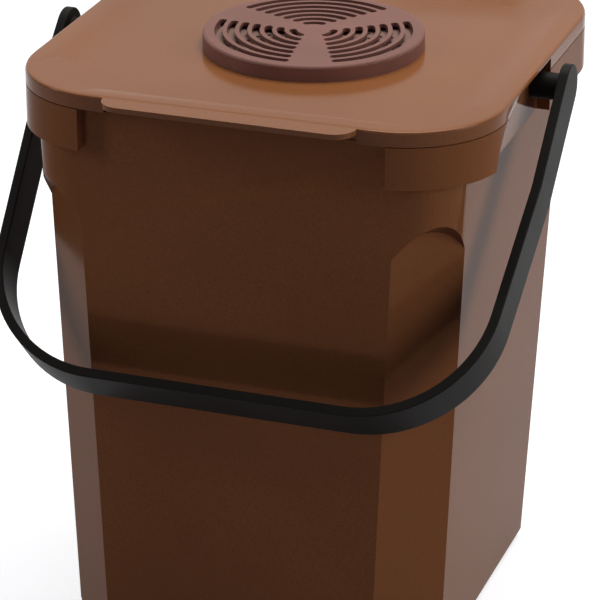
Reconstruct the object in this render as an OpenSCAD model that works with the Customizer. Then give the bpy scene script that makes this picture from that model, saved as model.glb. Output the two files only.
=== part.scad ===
// Compost caddy with a hinged lid, a vent with a carbon filter and a bail handle.
// X is the width, -Y the front, +Y the hinge side, Z up. The origin is on the
// underside, below the handle's axis. All sizes are in millimetres.

/* [Bucket] */
// Height of the closed caddy, to the rim of the lid
caddy_h = 288; // [240:1:340]
// Width of the collar and the lid
collar_w = 234.8; // [200:0.1:280]
// Depth of the collar and the lid, front to back
collar_d = 231; // [200:0.5:280]
// Wall thickness of the bucket
wall = 2.2; // [1.6:0.1:3]
// Thickness of the bottom
floor_t = 3; // [2:0.1:5]
// How far the collar stands out from the body at each side
side_overhang = 11.6; // [9:0.1:16]
// How far the collar stands out from the body at the front and back
front_overhang = 5.7; // [4.5:0.1:10]
// How far each side wall leans in from the rim to the underside
side_taper = 11.1; // [5:0.1:20]
// How far the back wall leans in from the rim to the underside
back_taper = 20.4; // [5:0.1:30]
// Radius of the body's upright corners
body_corner_r = 25; // [20:1:40]
// Radius round the bottom edge
bottom_edge_r = 4; // [2:0.5:8]

/* [Collar] */
// Height of the collar below the lid
collar_h = 20.4; // [16:0.1:30]
// Thickness of the collar's top flange
flange_t = 2.4; // [1.8:0.1:3.5]
// Radius of the upright corners of collar and lid
collar_corner_r = 48.7; // [40:0.1:60]
// Thickness of the ribs under the collar
rib_t = 1.8; // [1.2:0.1:3]
// How far the ribs stop above the collar's lower edge
rib_rise = 4; // [2:0.5:8]
// Width of the finger recess in the front of the collar
finger_recess_w = 150; // [110:1:160]

/* [Corner scoops] */
// Width of the flat facet in each corner
scoop_w = 38.6; // [30:0.1:42]
// Distance from the collar down to the centre of the scoop's arched top
scoop_drop = 56.5; // [50:0.5:80]
// Radius of the arch, over half the facet's width
scoop_arch_r = 25; // [21.6:0.1:30]
// Upward slope of the scoop's arched roof
scoop_roof_angle = 35; // [15:1:50]
// Direction of the facet, from the side's normal towards the front
scoop_turn = 44.4; // [35:0.1:55]
// Depth of the facet's middle behind the body's side plane
scoop_in_x = 13.4; // [11:0.1:17]
// Depth of the facet's middle behind the body's front plane
scoop_in_y = 13.8; // [11:0.1:17]

/* [Handle] */
// Distance from the rim down to the handle's axis
pivot_drop = 4.5; // [4.2:0.1:10]
// Angle of the resting handle below level
handle_rest_angle = 43.3; // [35:0.1:47]
// Width of the handle's strap
strap_w = 23; // [16:0.5:26]
// Thickness of the handle's strap
strap_t = 4.7; // [3:0.1:6]
// Gap between the collar's side and the strap
strap_gap = 8.3; // [5:0.1:14]
// Distance from the handle's axis to the outside of its bar
handle_reach = 184.2; // [175:0.1:210]
// Outer radius of the handle's bends
handle_bend_r = 63.5; // [45:0.5:70]
// Length of the parallel stretch of each arm
arm_straight = 58; // [50:1:80]
// How far each arm leans in between its parallel stretch and its bend
arm_lean = 4.2; // [2:0.1:8]
// Radius of the round hub on each arm
hub_r = 6.5; // [5.5:0.1:9]
// Radius of the stub pin on each hub
stub_r = 3; // [2.5:0.05:3.5]
// Length of the stub pin
stub_l = 5; // [4:0.1:5.2]
// Radial clearance of the stub pin in its socket
stub_clearance = 0.05; // [0.03:0.01:0.1]
// Gap between the hub and the pad it turns on
hub_gap = 0.3; // [0.2:0.1:0.6]

/* [Handle pocket] */
// Depth of the pocket in the side of collar and lid
pocket_depth = 6.4; // [4:0.1:6.6]
// Distance of the pocket's front end from the handle's axis
pocket_front = 77; // [60:1:80]
// Distance of the pocket's back end from the handle's axis
pocket_back = 9.5; // [9.2:0.1:16]
// Radius of the pocket's rounded front end
pocket_end_r = 30; // [20:1:32]
// Thickness of the lid left above the pocket
pocket_roof = 2; // [1.9:0.1:3]
// Where the pocket's sloping floor starts, behind its front end
pocket_slope_start = 5; // [0:1:10]
// Rise towards the back of the line where the sloping floor starts
pocket_line_angle = 18; // [17.5:0.5:25]
// Outward tilt of the pocket's sloping floor
pocket_floor_angle = 20.6; // [10:0.1:24]

/* [Lid] */
// Height of the lid's skirt
lid_skirt = 7.9; // [6:0.1:12]
// Thickness of the lid's skin
lid_t = 2; // [1.6:0.1:3]
// Depth of the dished panel below the rim
dish_depth = 6.4; // [5:0.1:9]
// Width of the lid's flat border at the front and back
border_front = 10; // [7:0.5:16]
// Width of the lid's flat border at the sides
border_side = 13; // [9:0.5:20]
// Width of the sloping band round the dished panel
dish_slope = 15; // [8:0.5:20]
// Width of the finger lip
lip_w = 123; // [100:1:140]
// How far the finger lip stands out
lip_reach = 10.4; // [6:0.1:12]
// Thickness of the finger lip
lip_t = 2.6; // [2:0.1:4]
// How far the finger lip lies below the rim
lip_step = 0.4; // [0.2:0.1:1]
// Radius round the lid's top edge
lid_edge_r = 1.8; // [1:0.1:3]
// Height of the shadow groove above the seam
seam_h = 0.5; // [0.3:0.1:1]
// Depth of the shadow groove
seam_in = 0.8; // [0.4:0.1:1]
// Depth of the locating rib into the mouth of the bucket
locating_depth = 6; // [3:0.5:12]
// Gap between the locating rib and the mouth
locating_gap = 1.2; // [0.8:0.1:2.5]

/* [Vent] */
// Radius of the vent cap
cap_r = 54; // [50:0.5:58]
// Height of the vent cap above the dished panel
cap_h = 7.6; // [5:0.1:9]
// Distance of the vent's centre behind the handle's axis
vent_back = 3; // [0:0.5:8]
// Radius round the cap's top edge
cap_edge_r = 1.6; // [0.8:0.1:2.4]
// Thickness of the cap's top
cap_t = 2; // [1.4:0.1:2.6]
// Number of rows of arc slots
slot_rows = 7; // [5:1:7]
// Radius of the innermost row of slots
slot_first_r = 10; // [8:0.5:12]
// Distance from one row of slots to the next
slot_pitch = 6.05; // [5.6:0.05:6.1]
// Width of a slot
slot_w = 3.9; // [2.5:0.1:4.4]
// Half-width of a spoke at the innermost row
spoke_half = 4.5; // [3.5:0.1:5]
// Widening of a spoke's half-width for each millimetre outwards
spoke_flare = 0.153; // [0:0.001:0.17]
// Direction of the spoke that points to the front
spoke_turn = -73; // [-90:1:-60]
// Outer radius of the ring under the cap that plugs into the lid
plug_r = 49.6; // [48.5:0.1:50]
// Thickness of the plug ring
plug_wall = 1.8; // [1.4:0.1:2.4]
// Gap between the plug ring and the well in the lid
plug_gap = 0.3; // [0.2:0.05:0.6]
// Thickness of the carbon filter
filter_t = 9; // [6:0.5:12]
// Gap between the cap's top and the grid
grid_gap = 1.5; // [1:0.1:2]
// Thickness of the perforated grid
grid_t = 1.4; // [1:0.1:2]
// Radius of a hole in the grid
grid_hole_r = 1; // [0.7:0.1:1.3]
// Distance from one row of grid holes to the next
grid_pitch = 5.4; // [5:0.1:8]
// Radius of the holes in the bottom of the well
well_hole_r = 2.5; // [1.5:0.1:3]
// Distance from one ring of holes in the well to the next
well_hole_pitch = 9; // [8:0.5:10]

/* [Hinge] */
// Distance from the middle to each hinge
hinge_x = 62; // [45:1:66]
// Radius of the hinge pins
hinge_pin_r = 2.4; // [2:0.05:2.8]
// Radial clearance of the pins in their bores
hinge_clearance = 0.05; // [0.03:0.01:0.1]
// Outer radius of the hinge knuckles
knuckle_r = 4.6; // [4.2:0.1:5]
// Width of the lid's knuckle
knuckle_w = 14; // [10:0.5:20]
// Width of each ear on the bucket
ear_w = 6; // [4:0.5:9]
// Side gap between knuckle and ear, and gap behind the collar
hinge_gap = 0.4; // [0.3:0.1:1]
// Height of the hinge axis above the bottom of the lid's skirt
hinge_rise = 1.2; // [0.8:0.1:2.5]
// How much smaller the lid's knuckle is than the ears
knuckle_ease = 0.2; // [0.1:0.1:0.5]
// Thickness of the hinge pins' heads
pin_head_t = 1.4; // [1:0.1:2]
// How far the hinge pins' heads stand out round the shank
pin_head_lip = 1.2; // [0.8:0.1:1.6]

/* [Hidden] */
$fn = 96;
EPS = 0.01;
FAR = 400;
CORNER_STEPS = 14;

rim_z = caddy_h - lid_skirt;
collar_z = rim_z - collar_h;
dish_z = caddy_h - dish_depth;
scoop_arch_z = collar_z - scoop_drop;

// Plan outlines, all of one kind: [half-width, front, back, corner radius]
function grown(plan, by) =
    [plan[0] + by, plan[1] + by, plan[2] + by, max(plan[3] + by, 1)];
function mix(a, b, t) = a + (b - a) * t;
collar_plan = [collar_w / 2, collar_d / 2, collar_d / 2, collar_corner_r];
mouth_plan = [collar_plan[0] - side_overhang, collar_plan[1] - front_overhang,
              collar_plan[2] - front_overhang, body_corner_r];
base_plan = mouth_plan - [side_taper, 0, back_taper, 0];
function body_plan(z) = mix(base_plan, mouth_plan, z / rim_z);

pivot_z = rim_z - pivot_drop;
side_x = collar_w / 2;
pad_x = side_x - pocket_depth;
hub_x = pad_x + hub_gap;
arm_x = side_x + strap_gap;
strap_x = arm_x + strap_t;
stub_x = pad_x - stub_l;

cap_top_z = dish_z + cap_h;
plug_inner_r = plug_r - plug_wall;
well_r = plug_r + plug_gap;
grid_top_z = cap_top_z - cap_t - grid_gap;
grid_z = grid_top_z - grid_t;
filter_z = grid_z - filter_t;
plug_z = filter_z + 1;
well_floor_z = filter_z - 2;

axis_y = collar_d / 2 + hinge_gap + knuckle_r;
axis_z = rim_z + hinge_rise;
ear_front_y = collar_d / 2 - wall / 2;

dish_top_plan = collar_plan - [border_side, border_front, border_front, border_front];
dish_floor_plan = grown(dish_top_plan, -dish_slope);
locating_plan = grown(mouth_plan, -wall - locating_gap);

// ---- shared shapes ----------------------------------------------------------

function corner_centre(plan, end) =
    [plan[0] - plan[3], (end < 0 ? plan[1] : plan[2]) - plan[3]];

// The arc of one corner, from the side to the front or back
function quarter(plan, end, steps) =
    [for (i = [0 : steps]) corner_centre(plan, end)
        + plan[3] * [cos(90 * i / steps), sin(90 * i / steps)]];

function reversed(list) = [for (i = [len(list) - 1 : -1 : 0]) list[i]];
function flipped(points, x, y) = [for (p = points) [x * p[0], y * p[1]]];
function outline(plan, steps) =
    let (back = quarter(plan, 1, steps), front = quarter(plan, -1, steps))
    concat(back, flipped(reversed(back), -1, 1),
           flipped(front, -1, -1), flipped(reversed(front), 1, -1));

module plan_shape(plan) {
    polygon(outline(plan, 1));
    for (side = [-1, 1], end = [-1, 1])
        let (centre = corner_centre(plan, end))
        translate([side * centre[0], end * centre[1]])
            circle(r = plan[3]);
}

// A block that blends from one outline to the next: each layer is [plan, z]
module loft(layers) {
    rings = [for (layer = layers) [for (p = outline(layer[0], CORNER_STEPS)) [p[0], p[1], layer[1]]]];
    count = len(rings[0]);
    last = (len(rings) - 1) * count;
    polyhedron(
        points = [for (ring = rings) each ring],
        faces = concat(
            [[for (i = [0 : count - 1]) i], [for (i = [count - 1 : -1 : 0]) last + i]],
            [for (k = [0 : len(rings) - 2], i = [0 : count - 1])
                let (next = (i + 1) % count)
                [k * count + i, (k + 1) * count + i, (k + 1) * count + next, k * count + next]]),
        convexity = 4);
}

// An upright prism of one outline
module prism(plan, z0, z1) {
    translate([0, 0, z0])
        linear_extrude(z1 - z0)
            plan_shape(plan);
}

module both_sides() {
    children();
    mirror([1, 0, 0]) children();
}

// A bar along X with the outline given in Y and Z
module along_x(x0, x1) {
    translate([x0, 0, 0])
        rotate([90, 0, 90])
            linear_extrude(x1 - x0)
                children();
}

// ---- bucket -----------------------------------------------------------------

// The middle of a corner's facet at a height; end is -1 at the front, 1 at the back
function facet_middle(end, z) =
    let (plan = body_plan(z))
    [plan[0] - scoop_in_x, end * ((end < 0 ? plan[1] : plan[2]) - scoop_in_y), z];

// The scoop that is cut out of one corner, grown for the inside of the wall
module corner_scoop(end, grow = 0) {
    top = facet_middle(end, scoop_arch_z);
    drop = top - facet_middle(end, 0);
    turn = end * scoop_turn;
    inward = drop[0] * cos(turn) + drop[1] * sin(turn);
    sideways = drop[1] * cos(turn) - drop[0] * sin(turn);
    half_w = scoop_w / 2 + grow;
    translate(top)
        rotate([0, 0, turn])
            rotate([-atan(sideways / scoop_arch_z), atan(inward / scoop_arch_z), 0])
                intersection() {
                    translate([-grow, -half_w, -FAR])
                        cube([FAR / 4, 2 * half_w, 2 * FAR]);
                    rotate([0, -scoop_roof_angle, 0])
                        along_x(-FAR, FAR)
                            union() {
                                circle(r = scoop_arch_r + grow);
                                translate([-FAR / 2, -2 * FAR])
                                    square([FAR, 2 * FAR]);
                            }
                }
}

module corner_scoops(grow = 0) {
    both_sides() {
        corner_scoop(-1, grow);
        corner_scoop(1, grow);
    }
}

// The solid blocks under the collar that the handle's stub pins turn in
module pivot_bosses() {
    half = stub_r + 3 * wall;
    both_sides()
        along_x(0, side_x)
            translate([-half, collar_z - 2])
                square([2 * half, collar_h + 2]);
}

// The outline of a side pocket in Y and Z, grown for its wall
module pocket_outline(grow) {
    centre = [pocket_end_r - pocket_front, caddy_h - pocket_roof - pocket_end_r];
    r = pocket_end_r + grow;
    back = pocket_back + grow;
    polygon([[centre[0] - r, 0], [centre[0] - r, centre[1]], [centre[0], centre[1] + r],
             [back, centre[1] + r], [back, 0]]);
    translate(centre)
        circle(r = r);
}

// The pockets that the handle's hubs sit in: a flat pad, and a floor that
// slopes outwards above a line that rises towards the back
module handle_pockets(grow = 0) {
    both_sides()
        intersection() {
            along_x(pad_x - grow, pad_x + FAR / 4)
                pocket_outline(grow);
            translate([pad_x - grow, pocket_slope_start - pocket_front, collar_z])
                rotate([pocket_line_angle, 0, 0])
                    rotate([0, pocket_floor_angle, 0])
                        translate([0, -FAR, -FAR])
                            cube([FAR, 2 * FAR, 2 * FAR]);
        }
}

module finger_recess(grow = 0) {
    half_w = finger_recess_w / 2 + grow;
    translate([-half_w, -FAR - mouth_plan[1] + grow, collar_z - 1])
        cube([2 * half_w, FAR, collar_h + 1 + EPS]);
}

// The hollow under the collar, open at the bottom and crossed by thin ribs
module collar_hollow() {
    ribs = 12;
    difference() {
        prism(grown(collar_plan, -wall), collar_z - 1, rim_z - flange_t);
        body_loft();
        finger_recess(wall);
        handle_pockets(wall);
        pivot_bosses();
        for (i = [0 : ribs - 1])
            rotate([0, 0, (i + 0.5) * 360 / ribs])
                translate([0, -rib_t / 2, collar_z + rib_rise])
                    cube([FAR, rib_t, collar_h]);
    }
}

module body_loft() {
    loft([for (step = [[0, 1], [0.3, 0.3], [1, 0]])
              [grown(body_plan(step[0] * bottom_edge_r), -step[1] * bottom_edge_r),
               step[0] * bottom_edge_r],
          [mouth_plan, rim_z]]);
}

module cavity() {
    inner_r = max(bottom_edge_r - wall, 1);
    difference() {
        loft([[grown(body_plan(floor_t), -wall - inner_r), floor_t],
              [grown(body_plan(floor_t + inner_r), -wall), floor_t + inner_r],
              [grown(mouth_plan, -wall), rim_z + 1]]);
        corner_scoops(wall);
    }
}

// One pair of ears on the back of the collar, with a gusset below
module hinge_ears() {
    for (side = [-1, 1])
        translate([side * (knuckle_w + ear_w + 2 * hinge_gap) / 2, 0, 0])
            along_x(-ear_w / 2, ear_w / 2)
                union() {
                    translate([axis_y, axis_z])
                        circle(r = knuckle_r);
                    polygon([[ear_front_y, collar_z + rib_rise],
                             [axis_y + knuckle_r * cos(30), axis_z - knuckle_r * sin(30)],
                             [axis_y, axis_z],
                             [axis_y - knuckle_r, axis_z],
                             [axis_y - knuckle_r, rim_z - EPS],
                             [ear_front_y, rim_z - EPS]]);
                }
}

module hinge_bore(width) {
    along_x(-width / 2, width / 2)
        translate([axis_y, axis_z])
            circle(r = hinge_pin_r + hinge_clearance);
}

module bucket() {
    color("saddlebrown")
        difference() {
            union() {
                difference() {
                    union() {
                        body_loft();
                        prism(collar_plan, collar_z, rim_z);
                    }
                    corner_scoops();
                    finger_recess();
                    handle_pockets();
                    collar_hollow();
                }
                for (x = [-hinge_x, hinge_x])
                    translate([x, 0, 0])
                        hinge_ears();
            }
            cavity();
            both_sides()
                along_x(stub_x - 2 * hub_gap, side_x)
                    translate([0, pivot_z])
                        circle(r = stub_r + stub_clearance);
            for (x = [-hinge_x, hinge_x])
                translate([x, 0, 0])
                    hinge_bore(2 * (knuckle_w + 2 * ear_w));
        }
}

// ---- lid --------------------------------------------------------------------

module lid_block() {
    loft([[grown(collar_plan, -seam_in), rim_z],
          [grown(collar_plan, -seam_in), rim_z + seam_h],
          [collar_plan, rim_z + seam_h + EPS],
          [collar_plan, caddy_h - lid_edge_r],
          [grown(collar_plan, -0.3 * lid_edge_r), caddy_h - 0.3 * lid_edge_r],
          [grown(collar_plan, -lid_edge_r), caddy_h]]);
}

module finger_lip() {
    tip_r = lip_reach;
    half_w = lip_w / 2;
    front = collar_d / 2 + lip_reach;
    root = border_front - lid_t;
    translate([0, 0, caddy_h - lip_step - lip_t])
        linear_extrude(lip_t)
            union() {
                translate([-half_w + tip_r, -front])
                    square([lip_w - 2 * tip_r, lip_reach + root]);
                for (side = [-1, 1])
                    translate([side * (half_w - tip_r), -front + tip_r])
                        circle(r = tip_r);
                translate([-half_w, -front + tip_r])
                    square([lip_w, root]);
            }
}

// The finger space under the lip, in the lid's skirt
module lip_space(grow = 0) {
    half_w = lip_w / 2 + grow;
    translate([-half_w, -FAR - mouth_plan[1] + grow, rim_z - 1])
        cube([2 * half_w, FAR, lid_skirt + 1 - lip_t - lip_step + grow]);
}

// The sunk tray of the lid; grown downwards and outwards it is the tray's underside
module dish(grow = 0) {
    loft([[grown(dish_floor_plan, grow), dish_z - grow],
          [grown(dish_top_plan, grow), caddy_h - grow / 2],
          [grown(dish_top_plan, grow), caddy_h + 1]]);
}

module lid_hollow() {
    difference() {
        prism(grown(collar_plan, -lid_t), rim_z - 1, caddy_h - lid_t);
        dish(lid_t);
        handle_pockets(lid_t);
        lip_space(lid_t);
    }
}

module locating_rib() {
    difference() {
        prism(locating_plan, rim_z - locating_depth, caddy_h - lid_t / 2);
        prism(grown(locating_plan, -lid_t), rim_z - locating_depth - 1, caddy_h);
    }
}

module lid_knuckle() {
    along_x(-knuckle_w / 2, knuckle_w / 2)
        union() {
            translate([axis_y, axis_z])
                circle(r = knuckle_r - knuckle_ease);
            polygon([[collar_d / 2 - lid_t / 2, rim_z + knuckle_ease],
                     [axis_y - knuckle_r + 2 * knuckle_ease, rim_z + knuckle_ease],
                     [axis_y, axis_z],
                     [axis_y, axis_z + knuckle_r - 2 * knuckle_ease],
                     [collar_d / 2 - lid_t / 2, caddy_h - lid_edge_r]]);
        }
}

// The round well under the vent, with a ring-wise perforated bottom
module vent_well() {
    translate([0, vent_back, well_floor_z - lid_t])
        cylinder(r = well_r + lid_t, h = dish_z - lid_t / 2 - well_floor_z + lid_t);
}

module vent_well_bore() {
    rings = floor(well_r / well_hole_pitch) - 1;
    translate([0, vent_back, 0]) {
        translate([0, 0, well_floor_z])
            cylinder(r = well_r, h = FAR);
        for (ring = [1 : rings], i = [0 : 6 * ring - 1])
            rotate([0, 0, i * 60 / ring])
                translate([ring * well_hole_pitch, 0, well_floor_z - lid_t - 1])
                    cylinder(r = well_hole_r, h = lid_t + 2, $fn = 24);
    }
}

module lid() {
    color("peru")
        difference() {
            union() {
                difference() {
                    union() {
                        lid_block();
                        finger_lip();
                    }
                    lid_hollow();
                    handle_pockets();
                    lip_space();
                }
                intersection() {
                    dish(lid_t);
                    prism(grown(collar_plan, -lid_t), 0, caddy_h - lid_t / 2);
                }
                locating_rib();
                vent_well();
                for (x = [-hinge_x, hinge_x])
                    translate([x, 0, 0])
                        lid_knuckle();
            }
            dish();
            vent_well_bore();
            for (x = [-hinge_x, hinge_x])
                translate([x, 0, 0])
                    hinge_bore(knuckle_w + 2);
        }
}

// ---- vent -------------------------------------------------------------------

// One arc slot with round ends, between two spokes
module arc_slot(r) {
    half = 60 - asin((spoke_half + spoke_flare * (r - slot_first_r)) / r) - asin(slot_w / 2 / r);
    difference() {
        intersection() {
            circle(r = r + slot_w / 2);
            polygon([[0, 0], 2 * cap_r * [cos(-half), sin(-half)], 2 * cap_r * [1, 0],
                     2 * cap_r * [cos(half), sin(half)]]);
        }
        circle(r = r - slot_w / 2);
    }
    for (a = [-half, half])
        rotate(a)
            translate([r, 0])
                circle(r = slot_w / 2 - EPS, $fn = 24);
}

// The whole grille: rows of arc slots in three sectors
module grille_slots() {
    for (sector = [0 : 2], row = [0 : slot_rows - 1])
        rotate(spoke_turn + 60 + 120 * sector)
            arc_slot(slot_first_r + row * slot_pitch);
}

module vent_cap() {
    color("rosybrown")
        translate([0, vent_back, 0])
            difference() {
                union() {
                    rotate_extrude()
                        union() {
                            translate([0, dish_z])
                                square([cap_r, cap_h - cap_edge_r]);
                            translate([0, dish_z])
                                square([cap_r - cap_edge_r, cap_h]);
                            translate([cap_r - cap_edge_r, cap_top_z - cap_edge_r])
                                circle(r = cap_edge_r);
                        }
                    translate([0, 0, plug_z])
                        cylinder(r = plug_r, h = dish_z - plug_z + 1);
                }
                translate([0, 0, plug_z - 1])
                    difference() {
                        cylinder(r = plug_inner_r, h = cap_top_z - cap_t - plug_z + 1);
                        // three ribs under the spokes hold the grid down
                        for (sector = [0 : 2])
                            rotate(spoke_turn + 120 * sector)
                                translate([spoke_half, -rib_t / 2, grid_top_z - plug_z + 1])
                                    cube([plug_inner_r, rib_t, 2 * cap_h]);
                    }
                translate([0, 0, cap_top_z - cap_t - 1])
                    linear_extrude(cap_t + 2)
                        grille_slots();
            }
}

// The perforated plate under the slots: rings of small holes
module filter_grid() {
    rings = floor((plug_inner_r - 2 * plug_wall) / grid_pitch);
    ring_twist = 17;
    color("gray")
        translate([0, vent_back, grid_z])
            linear_extrude(grid_t)
                difference() {
                    circle(r = plug_inner_r - EPS * 10);
                    for (ring = [1 : rings], i = [0 : 5 * ring - 1])
                        rotate(i * 72 / ring + ring_twist * ring)
                            translate([ring * grid_pitch, 0])
                                circle(r = grid_hole_r, $fn = 16);
                }
}

module carbon_filter() {
    color("dimgray")
        translate([0, vent_back, filter_z])
            cylinder(r = plug_inner_r - EPS * 20, h = filter_t);
}

// ---- handle -----------------------------------------------------------------

// The direction from a circle's centre to the point where a line from p touches it
function touch_angle(p, centre, r) =
    atan2(p[1] - centre[1], p[0] - centre[0]) + acos(r / norm(p - centre));

// Where the sloping stretch of an arm touches the bend
bend_centre = [strap_x - arm_lean - handle_bend_r, handle_reach - handle_bend_r];
arm_touch = touch_angle([strap_x, arm_straight], bend_centre, handle_bend_r);

// Half of the area inside the handle's outline, drawn in by an inset.
// Its first axis is X and its second runs out from the handle's axis.
module bail_half(inset) {
    r = handle_bend_r - inset;
    touch = bend_centre + r * [cos(arm_touch), sin(arm_touch)];
    side = strap_x - inset;
    knee = touch[1] - (side - touch[0]) * cos(arm_touch) / sin(arm_touch);
    polygon([[-EPS, -strap_w], [side, -strap_w], [side, knee], touch, bend_centre,
             bend_centre + [0, r], [-EPS, bend_centre[1] + r]]);
    translate(bend_centre)
        circle(r = r);
}

module bail_area(inset) {
    bail_half(inset);
    mirror([1, 0]) bail_half(inset);
}

module handle_strap() {
    intersection() {
        rotate([180, 0, 0])
            translate([0, 0, -strap_w / 2])
                linear_extrude(strap_w)
                    difference() {
                        bail_area(0);
                        bail_area(strap_t);
                        translate([-FAR / 2, -FAR])
                            square([FAR, FAR - strap_w / 2 - EPS]);
                    }
        along_x(-FAR / 2, FAR / 2)
            union() {
                circle(r = strap_w / 2);
                translate([-FAR, -strap_w / 2])
                    square([FAR, strap_w]);
            }
    }
}

module handle() {
    color("#222222")
        translate([0, 0, pivot_z])
            rotate([handle_rest_angle, 0, 0]) {
                handle_strap();
                both_sides() {
                    along_x(hub_x, arm_x + 1)
                        circle(r = hub_r);
                    along_x(stub_x, hub_x + 1)
                        circle(r = stub_r);
                }
            }
}

// ---- hinge pins -------------------------------------------------------------

module hinge_pin(side) {
    length = knuckle_w + 2 * ear_w + 2 * hinge_gap;
    color("#333333")
        translate([side * hinge_x, axis_y, axis_z])
            rotate([0, side * 90, 0]) {
                translate([0, 0, -length / 2])
                    cylinder(r = hinge_pin_r, h = length + pin_head_t / 2);
                translate([0, 0, length / 2])
                    cylinder(r = hinge_pin_r + pin_head_lip, h = pin_head_t);
            }
}

module hinge_pin_left() { hinge_pin(-1); }
module hinge_pin_right() { hinge_pin(1); }

bucket();
lid();
vent_cap();
filter_grid();
carbon_filter();
handle();
hinge_pin_left();
hinge_pin_right();
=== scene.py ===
"""Compost caddy with a hinged lid: finish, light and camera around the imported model."""

import math

import bmesh
import bpy
from mathutils import Matrix, Vector


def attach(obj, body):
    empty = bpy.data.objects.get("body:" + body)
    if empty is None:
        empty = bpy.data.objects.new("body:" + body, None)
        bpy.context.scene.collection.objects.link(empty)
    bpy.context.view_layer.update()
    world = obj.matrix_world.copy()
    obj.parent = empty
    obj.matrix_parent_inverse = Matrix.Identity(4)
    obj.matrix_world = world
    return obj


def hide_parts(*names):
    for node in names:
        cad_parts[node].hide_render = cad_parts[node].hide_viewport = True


MM = 0.001
OPAQUE = 1.0

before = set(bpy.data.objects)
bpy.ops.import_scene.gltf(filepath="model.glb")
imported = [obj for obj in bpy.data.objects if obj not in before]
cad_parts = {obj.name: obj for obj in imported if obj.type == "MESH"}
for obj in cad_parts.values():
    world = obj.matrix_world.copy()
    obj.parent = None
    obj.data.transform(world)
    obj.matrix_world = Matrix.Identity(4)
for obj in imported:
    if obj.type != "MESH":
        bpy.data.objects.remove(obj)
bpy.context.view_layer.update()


# ---- camera -------------------------------------------------------------------

CAMERA_PLACE = Vector((0.497180, -1.425619, 0.810893))
CAMERA_YAW = math.radians(19.52835)
CAMERA_PITCH = math.radians(23.56714)
CAMERA_ROLL = math.radians(-0.10754)
SENSOR = 36.0
LENS = 197.328
IMAGE_SIDE = 600
OPTICAL_AXIS_PIXEL = (295.720, 290.584)
NEAR_CLIP = 0.1
FAR_CLIP = 50.0


def make_camera():
    """The photograph's viewpoint: front right, a little above, through a long lens."""
    forward = Vector((
        -math.sin(CAMERA_YAW) * math.cos(CAMERA_PITCH),
        math.cos(CAMERA_YAW) * math.cos(CAMERA_PITCH),
        -math.sin(CAMERA_PITCH),
    ))
    level = Vector((math.cos(CAMERA_YAW), math.sin(CAMERA_YAW), 0.0))
    upright = level.cross(forward)
    right = math.cos(CAMERA_ROLL) * level + math.sin(CAMERA_ROLL) * upright
    up = -math.sin(CAMERA_ROLL) * level + math.cos(CAMERA_ROLL) * upright
    data = bpy.data.cameras.new("photo_view")
    data.sensor_width = SENSOR
    data.lens = LENS
    data.shift_x = 0.5 - OPTICAL_AXIS_PIXEL[0] / IMAGE_SIDE
    data.shift_y = OPTICAL_AXIS_PIXEL[1] / IMAGE_SIDE - 0.5
    data.clip_start = NEAR_CLIP
    data.clip_end = FAR_CLIP
    camera = bpy.data.objects.new("photo_view", data)
    camera.matrix_world = Matrix.Translation(CAMERA_PLACE) @ Matrix(
        (right, up, -forward)
    ).transposed().to_4x4()
    bpy.context.scene.collection.objects.link(camera)
    bpy.context.scene.camera = camera


# ---- node helpers -------------------------------------------------------------

NOISE_ROUGHNESS = 0.5
TONE_STOPS = (0.3, 0.7)


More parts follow.
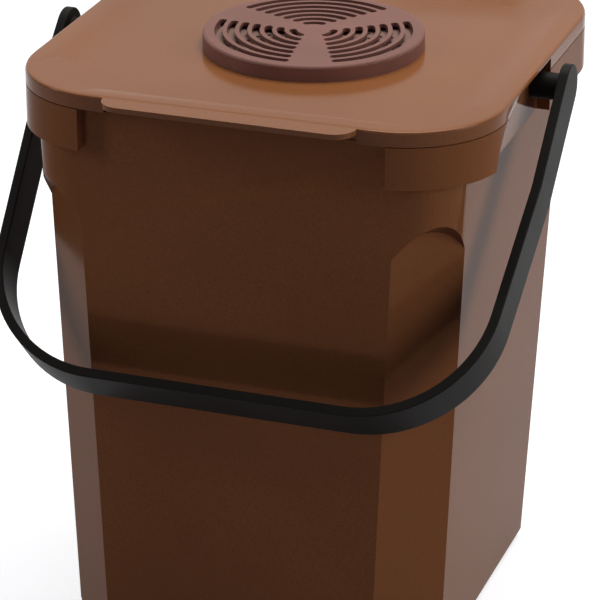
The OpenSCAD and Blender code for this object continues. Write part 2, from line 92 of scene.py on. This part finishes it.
class Shader:
    """A small builder for one material's node tree."""

    def __init__(self, name):
        self.material = bpy.data.materials.new(name)
        self.material.use_nodes = True
        self.tree = self.material.node_tree
        self.tree.nodes.clear()
        self.output = self.add("ShaderNodeOutputMaterial")
        self.surface = self.add("ShaderNodeBsdfPrincipled")
        self.link(self.surface.outputs["BSDF"], self.output.inputs["Surface"])
        self.place = self.add("ShaderNodeTexCoord").outputs["Object"]

    def add(self, kind, **settings):
        node = self.tree.nodes.new(kind)
        for key, value in settings.items():
            setattr(node, key, value)
        return node

    def link(self, source, target):
        self.tree.links.new(source, target)

    def numbers(self, **values):
        """Plain numbers on the surface shader's own sockets."""
        for key, value in values.items():
            self.surface.inputs[key.replace("_", " ")].default_value = value

    def noise(self, cells, detail=3.0):
        """Noise at so many cells to the metre."""
        node = self.add("ShaderNodeTexNoise")
        node.inputs["Scale"].default_value = cells
        node.inputs["Detail"].default_value = detail
        node.inputs["Roughness"].default_value = NOISE_ROUGHNESS
        self.link(self.place, node.inputs["Vector"])
        return node.outputs["Fac"]

    def cells(self, cells):
        """Distance from the middle of each cell, at so many cells to the metre."""
        node = self.add("ShaderNodeTexVoronoi", feature="F1")
        node.inputs["Scale"].default_value = cells
        self.link(self.place, node.inputs["Vector"])
        return node.outputs["Distance"]

    def ramp(self, factor, *stops):
        """A colour ramp between two (position, colour) stops."""
        node = self.add("ShaderNodeValToRGB")
        for element, (position, colour) in zip(node.color_ramp.elements, stops):
            element.position = position
            element.color = (*colour, OPAQUE)
        self.link(factor, node.inputs["Fac"])
        return node.outputs["Color"]

    def tones(self, factor, colour, spread):
        """The colour, a share darker and lighter as the factor goes."""
        return self.ramp(
            factor,
            (TONE_STOPS[0], scaled(colour, 1 - spread)),
            (TONE_STOPS[1], scaled(colour, 1 + spread)),
        )

    def span(self, factor, low, high):
        """The factor spread from low to high."""
        node = self.add("ShaderNodeMapRange")
        node.inputs["To Min"].default_value = low
        node.inputs["To Max"].default_value = high
        self.link(factor, node.inputs["Value"])
        return node.outputs["Result"]

    def product(self, first, second):
        """Two colours multiplied."""
        node = self.add("ShaderNodeMix", data_type="RGBA", blend_type="MULTIPLY")
        node.inputs["Factor"].default_value = 1.0
        self.link(first, node.inputs["A"])
        self.link(second, node.inputs["B"])
        return node.outputs["Result"]

    def colour(self, source):
        self.link(source, self.surface.inputs["Base Color"])

    def roughness(self, factor, low, high):
        self.link(self.span(factor, low, high), self.surface.inputs["Roughness"])

    def bumps(self, *layers):
        """Bump layers of (height, distance in metres), one on top of the other."""
        normal = None
        for height, distance in layers:
            node = self.add("ShaderNodeBump")
            node.inputs["Strength"].default_value = 1.0
            node.inputs["Distance"].default_value = distance
            self.link(height, node.inputs["Height"])
            if normal is not None:
                self.link(normal, node.inputs["Normal"])
            normal = node.outputs["Normal"]
        self.link(normal, self.surface.inputs["Normal"])


def scaled(colour, by):
    return tuple(channel * by for channel in colour)


# ---- finishes -----------------------------------------------------------------
# Patterns are counted in cells to the metre; depths are in metres.

BRONZE = (0.25, 0.094, 0.033)
CAP_BROWN = (0.2, 0.092, 0.07)
HANDLE_BLACK = (0.0165, 0.0148, 0.012)
# The grid's own brown, painted lighter as painted light to make up for the shade it sits in
# under the cap's slots.
GRID_BROWN_PAINTED_LIGHTER = (0.23, 0.135, 0.105)
CARBON = (0.012, 0.012, 0.011)
PIN_BLACK = (0.02, 0.02, 0.02)

CLOUD_CELLS = 9.0
CLOUD_SPREAD = 0.08
FLECK_CELLS = 2600.0
FLECK_DARK = (0.35, (0.86, 0.86, 0.86))
FLECK_LIGHT = (0.68, (1.16, 1.13, 1.08))
SMEAR_CELLS = 38.0
BRONZE_ROUGHNESS = (0.13, 0.2)
WAVE_CELLS = 7.0
WAVE_DEPTH = 0.12 * MM
PEBBLE_CELLS = 500.0
PEBBLE_DEPTH = 0.002 * MM


def bronze_plastic(name, colour, ior, metal):
    """Glossy moulded plastic with a fine pearl fleck and faint waves."""
    shader = Shader(name)
    cloud = shader.noise(CLOUD_CELLS, detail=2.0)
    fleck = shader.noise(FLECK_CELLS, detail=1.0)
    base = shader.tones(cloud, colour, CLOUD_SPREAD)
    pearl = shader.ramp(fleck, FLECK_DARK, FLECK_LIGHT)
    shader.colour(shader.product(base, pearl))
    shader.roughness(shader.noise(SMEAR_CELLS), *BRONZE_ROUGHNESS)
    shader.bumps(
        (shader.noise(WAVE_CELLS, detail=0.0), WAVE_DEPTH),
        (shader.noise(PEBBLE_CELLS, detail=1.0), PEBBLE_DEPTH),
    )
    shader.numbers(IOR=ior, Metallic=metal)
    return shader.material


STAIN_CELLS = 30.0
MATT_SPREAD = 0.1
GRAIN_DEPTH = 0.04 * MM
PIT_DEPTH = 0.02 * MM
PITS_PER_GRAIN = 0.6


def matt_plastic(name, colour, ior, roughness, grain=1400.0):
    """Plastic with a fine spark-eroded grain."""
    shader = Shader(name)
    stain = shader.noise(STAIN_CELLS)
    grit = shader.noise(grain)
    base = shader.tones(stain, colour, MATT_SPREAD)
    speck = shader.tones(grit, (1.0, 1.0, 1.0), MATT_SPREAD)
    shader.colour(shader.product(base, speck))
    shader.roughness(stain, *roughness)
    shader.bumps((grit, GRAIN_DEPTH), (shader.cells(grain * PITS_PER_GRAIN), PIT_DEPTH))
    shader.numbers(IOR=ior)
    return shader.material


FOAM_CELLS = 420.0
# Painted shade: the cell hollows are darker than the charcoal strands.
FOAM_HOLLOW_SHADE = (0.1, scaled(CARBON, 0.5))
FOAM_STRAND = (0.6, scaled(CARBON, 2.2))
FOAM_DUST_CELLS = 60.0
FOAM_ROUGHNESS = (0.85, 0.98)
FOAM_DEPTH = 1.2 * MM
FIBRE_CELLS = 1500.0
FIBRE_DEPTH = 0.2 * MM
FOAM_IOR = 1.3


def carbon_foam(name):
    """Open charcoal-filled foam: paler strands, with painted shade darkening the cell hollows.
    """
    shader = Shader(name)
    cell = shader.cells(FOAM_CELLS)
    # Painted shade: the colour darkens towards the middle of each cell, where the bump makes a
    # hollow.
    shader.colour(shader.ramp(cell, FOAM_HOLLOW_SHADE, FOAM_STRAND))
    shader.roughness(shader.noise(FOAM_DUST_CELLS), *FOAM_ROUGHNESS)
    shader.bumps(
        (cell, FOAM_DEPTH), (shader.noise(FIBRE_CELLS, detail=4.0), FIBRE_DEPTH)
    )
    shader.numbers(IOR=FOAM_IOR)
    return shader.material


# ---- pieces -------------------------------------------------------------------

WELD = 0.002 * MM
FLAT_ANGLE = math.radians(0.4)
CREASE = math.radians(24)
EDGE_SEGMENTS = 3
BROAD_FACE_WEIGHT = 100


def welded_copy(node, name):
    """The node's mesh joined across its faces, in a new object."""
    mesh = bpy.data.meshes.new(name)
    form = bmesh.new()
    form.from_mesh(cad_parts[node].data)
    bmesh.ops.remove_doubles(form, verts=form.verts, dist=WELD)
    bmesh.ops.dissolve_limit(
        form, angle_limit=FLAT_ANGLE, verts=form.verts, edges=form.edges,
        use_dissolve_boundaries=False, delimit=set(),
    )
    bmesh.ops.recalc_face_normals(form, faces=form.faces)
    for face in form.faces:
        face.smooth = True
    form.to_mesh(mesh)
    form.free()
    piece = bpy.data.objects.new(name, mesh)
    bpy.context.scene.collection.objects.link(piece)
    return piece


def soften(piece, width):
    """Rounds the piece's edges and lets broad faces keep their own normals."""
    bevel = piece.modifiers.new("edge_rounding", "BEVEL")
    bevel.width = width
    bevel.segments = EDGE_SEGMENTS
    bevel.limit_method = "ANGLE"
    bevel.angle_limit = CREASE
    bevel.use_clamp_overlap = True
    bevel.miter_outer = "MITER_ARC"
    bevel.harden_normals = False
    weighted = piece.modifiers.new("broad_face_normals", "WEIGHTED_NORMAL")
    weighted.mode = "FACE_AREA"
    weighted.weight = BROAD_FACE_WEIGHT
    weighted.keep_sharp = True


def dressed(node, body, slot, material, width, name):
    """One finished piece that stands for a CAD node."""
    piece = welded_copy(node, name)
    piece.data.materials.append(material)
    soften(piece, width)
    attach(piece, body)
    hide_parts(node)


# ---- stage --------------------------------------------------------------------

FLOOR_SIDE = 14.0
FLOOR_DROP = 0.3 * MM
FLOOR_LIT = (0.5, 0.5, 0.5)
FLOOR_GLOW = 0.72
FLOOR_DIM = (0.16, 0.16, 0.28)
FLOOR_ROUGHNESS = 0.9
FLOOR_IOR = 1.2
PLAIN_WHITE = (1.0, 1.0, 1.0)
BACKGROUND_WHITE = 1.0
WORLD_DIM = 0.08
COOL_FILL = (0.85, 0.9, 1.6)
LAMP_TARGET = Vector((0, 0, 0.18))
# Each soft lamp: name, place, width and height in metres, and watts
LAMPS = (
    ("top_box", (0.1, 0.6, 1.9), (1.6, 1.2), 34),
    ("right_box", (1.75, -0.1, 0.8), (0.9, 1.3), 12),
    ("left_strip", (-1.5, -0.7, 0.9), (0.25, 1.2), 7),
)


def seen_white(tree):
    """1 for rays from the camera, a glossy or a clear surface, 0 for diffuse ones."""
    path = tree.nodes.new("ShaderNodeLightPath")
    seen = path.outputs["Is Camera Ray"]
    for kind in ("Is Glossy Ray", "Is Transmission Ray"):
        either = tree.nodes.new("ShaderNodeMath")
        either.operation = "MAXIMUM"
        tree.links.new(seen, either.inputs[0])
        tree.links.new(path.outputs[kind], either.inputs[1])
        seen = either.outputs[0]
    return seen


def make_floor():
    """A plain white floor that keeps the object's shadow."""
    bpy.ops.mesh.primitive_plane_add(size=FLOOR_SIDE, location=(0, 0, -FLOOR_DROP))
    floor = bpy.context.object
    floor.name = "floor"
    shader = Shader("floor_white")
    shader.numbers(
        Roughness=FLOOR_ROUGHNESS, IOR=FLOOR_IOR, Emission_Color=(*PLAIN_WHITE, OPAQUE)
    )
    seen = seen_white(shader.tree)
    shader.colour(shader.ramp(seen, (0.0, FLOOR_DIM), (1.0, FLOOR_LIT)))
    shader.link(shader.span(seen, 0.0, FLOOR_GLOW), shader.surface.inputs["Emission Strength"])
    floor.data.materials.append(shader.material)


def area_light(name, place, size, power):
    """A plain white rectangular lamp that faces the object."""
    data = bpy.data.lights.new(name, "AREA")
    data.shape = "RECTANGLE"
    data.size, data.size_y = size
    data.energy = power
    light = bpy.data.objects.new(name, data)
    light.location = place
    light.rotation_mode = "QUATERNION"
    light.rotation_quaternion = (LAMP_TARGET - Vector(place)).to_track_quat("-Z", "Y")
    bpy.context.scene.collection.objects.link(light)


def background(tree, colour, strength):
    node = tree.nodes.new("ShaderNodeBackground")
    node.inputs["Color"].default_value = (*colour, OPAQUE)
    node.inputs["Strength"].default_value = strength
    return node.outputs["Background"]


def make_light():
    """Soft studio light: a broad box overhead and behind, and one at each side."""
    world = bpy.data.worlds.new("studio")
    world.use_nodes = True
    tree = world.node_tree
    tree.nodes.clear()
    output = tree.nodes.new("ShaderNodeOutputWorld")
    mixer = tree.nodes.new("ShaderNodeMixShader")
    tree.links.new(seen_white(tree), mixer.inputs["Fac"])
    tree.links.new(background(tree, COOL_FILL, WORLD_DIM), mixer.inputs[1])
    tree.links.new(background(tree, PLAIN_WHITE, BACKGROUND_WHITE), mixer.inputs[2])
    tree.links.new(mixer.outputs[0], output.inputs["Surface"])
    bpy.context.scene.world = world
    for lamp in LAMPS:
        area_light(*lamp)


# ---- assembly -----------------------------------------------------------------

make_camera()
bronze = bronze_plastic("bucket_bronze", BRONZE, ior=1.06, metal=0.06)
lid_bronze = bronze_plastic("lid_bronze", BRONZE, ior=1.16, metal=0.04)
cap_matt = matt_plastic("cap_matt_brown", CAP_BROWN, 1.22, roughness=(0.5, 0.62))
# The grid's brown carries painted light against the shade under the cap.
grid_matt = matt_plastic("grid_brown", GRID_BROWN_PAINTED_LIGHTER, 1.25, roughness=(0.55, 0.7))
handle_satin = matt_plastic("handle_satin_black", HANDLE_BLACK, 1.1, roughness=(0.36, 0.48))
pin_satin = matt_plastic("pin_black", PIN_BLACK, 1.3, roughness=(0.3, 0.4), grain=2200.0)
foam = carbon_foam("filter_foam")

# Each piece: CAD node, body, slot, finish, width of its rounded edges, name
for piece in (
    ("bucket", "bucket", "bucket_plastic", bronze, 1.0 * MM, "bucket_shell"),
    ("lid", "lid", "lid_plastic", lid_bronze, 0.5 * MM, "lid_shell"),
    ("vent_cap", "vent", "cap_plastic", cap_matt, 0.25 * MM, "vent_grille"),
    ("filter_grid", "vent", "grid_plastic", grid_matt, 0.1 * MM, "perforated_grid"),
    ("carbon_filter", "vent", "filter_foam", foam, 0.6 * MM, "foam_disc"),
    ("handle", "handle", "handle_plastic", handle_satin, 0.7 * MM, "bail_handle"),
    ("hinge_pin_left", "bucket", "pin_plastic", pin_satin, 0.3 * MM, "left_hinge_pin"),
    ("hinge_pin_right", "bucket", "pin_plastic", pin_satin, 0.3 * MM, "right_hinge_pin"),
):
    dressed(*piece)

make_floor()
make_light()
bpy.context.scene.view_settings.view_transform = "Standard"
